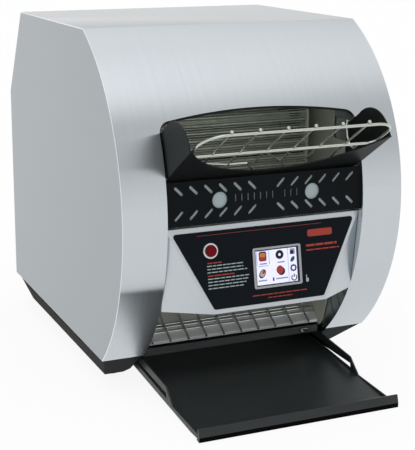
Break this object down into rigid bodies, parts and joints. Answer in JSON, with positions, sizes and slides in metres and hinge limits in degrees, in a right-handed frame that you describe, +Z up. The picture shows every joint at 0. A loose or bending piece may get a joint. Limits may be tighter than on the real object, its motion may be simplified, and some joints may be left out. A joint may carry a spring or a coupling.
{
  "type": "conveyor toaster",
  "caption": "Countertop vertical conveyor toaster with curved steel hood, black feed scoop with wire rack, burn guard, touch panel, discharge chute and collector tray.",
  "frame": {"origin": "on the counter, below the middle of the whole footprint, collector tray included", "axes": "+Z up, -Y towards the front with the feed scoop and the tray, +X to the right as seen from the front"},
  "size_m": [0.368, 0.5666, 0.4409],
  "materials": {
    "stainless": "brushed",
    "black_enamel": "satin black",
    "bright_wire": "bright",
    "plain_steel": "dull",
    "element_sheath": "heat tinted",
    "motor_paint": "satin",
    "bushing_bronze": "machined",
    "overlay_gloss": "gloss",
    "screen_face": "lit",
    "button_red": "gloss",
    "foot_rubber": "matt",
    "black_plastic": "matt",
    "board_green": "satin",
    "ivory_plastic": "satin"
  },
  "bodies": {
    "housing": {"hood": "stainless", "left_side_panel": "stainless", "right_side_panel": "stainless", "rear_cover": "stainless", "inner_left_plate": "stainless", "inner_right_plate": "stainless", "chamber_liner": "stainless", "front_reflector": "stainless", "rear_reflector": "stainless", "control_housing": "stainless", "discharge_chute": "stainless", "motor_bracket": "stainless", "base_skirt": "black_enamel", "feed_scoop": "black_enamel", "burn_guard": "black_enamel", "tray_guides": "black_enamel", "feed_trim": "black_enamel", "chute_rack": "bright_wire", "guide_wires": "bright_wire", "cover_screws": "bright_wire", "screen_bezel": "bright_wire", "button_bezel": "bright_wire", "button_spring": "bright_wire", "chassis_pan": "plain_steel", "conveyor_belt": "plain_steel", "drive_chain": "plain_steel", "front_elements": "element_sheath", "rear_elements": "element_sheath", "gear_motor": "motor_paint", "shaft_bushings": "bushing_bronze", "control_overlay": "overlay_gloss", "touch_screen": "screen_face", "rubber_feet": "foot_rubber", "fan_frame": "black_plastic", "cord_gland": "black_plastic", "control_board": "board_green", "power_board": "board_green", "terminal_block": "ivory_plastic"},
    "conveyor_drive": {"drive_shaft": "bright_wire", "drive_sprockets": "plain_steel", "chain_sprocket": "plain_steel"},
    "conveyor_idler": {"idler_shaft": "bright_wire", "idler_sprockets": "plain_steel"},
    "motor_output": {"motor_sprocket": "plain_steel"},
    "fan": {"fan_rotor": "black_plastic"},
    "rack": {"feed_rack": "bright_wire"},
    "collector": {"collector_tray": "black_enamel"},
    "crumbs": {"crumb_tray": "plain_steel", "crumb_tray_stud": "bright_wire"},
    "button": {"button_cap": "button_red"}
  },
  "joints": [
    {"name": "drive_spin", "type": "hinge", "parent": "housing", "child": "conveyor_drive", "pos_m": [0, -0.04005, 0.136], "axis": [1, 0, 0], "continuous": true},
    {"name": "idler_spin", "type": "hinge", "parent": "housing", "child": "conveyor_idler", "pos_m": [0, -0.04005, 0.31698], "axis": [1, 0, 0], "continuous": true},
    {"name": "motor_spin", "type": "hinge", "parent": "housing", "child": "motor_output", "pos_m": [0, 0.08695, 0.136], "axis": [1, 0, 0], "continuous": true},
    {"name": "fan_spin", "type": "hinge", "parent": "housing", "child": "fan", "pos_m": [0.07, 0.265, 0.1521], "axis": [0, 1, 0], "continuous": true},
    {"name": "rack_lift", "type": "slide", "parent": "housing", "child": "rack", "axis": [0, 0, 1], "range_m": [0, 0.03]},
    {"name": "collector_slide", "type": "slide", "parent": "housing", "child": "collector", "axis": [0, -1, 0], "range_m": [0, 0.06]},
    {"name": "crumb_slide", "type": "slide", "parent": "housing", "child": "crumbs", "axis": [0, -1, 0], "range_m": [0, 0.06]},
    {"name": "button_press", "type": "slide", "parent": "housing", "child": "button", "axis": [0, 0.9808, -0.1952], "range_m": [0, 0.0025], "stiffness_N_per_m": 400, "springref_m": -0.002, "deforming": ["button_spring"]}
  ],
  "couplings": [
    {"joint": "idler_spin", "follows": "drive_spin", "ratio": 1},
    {"joint": "motor_spin", "follows": "drive_spin", "ratio": 1}
  ]
}
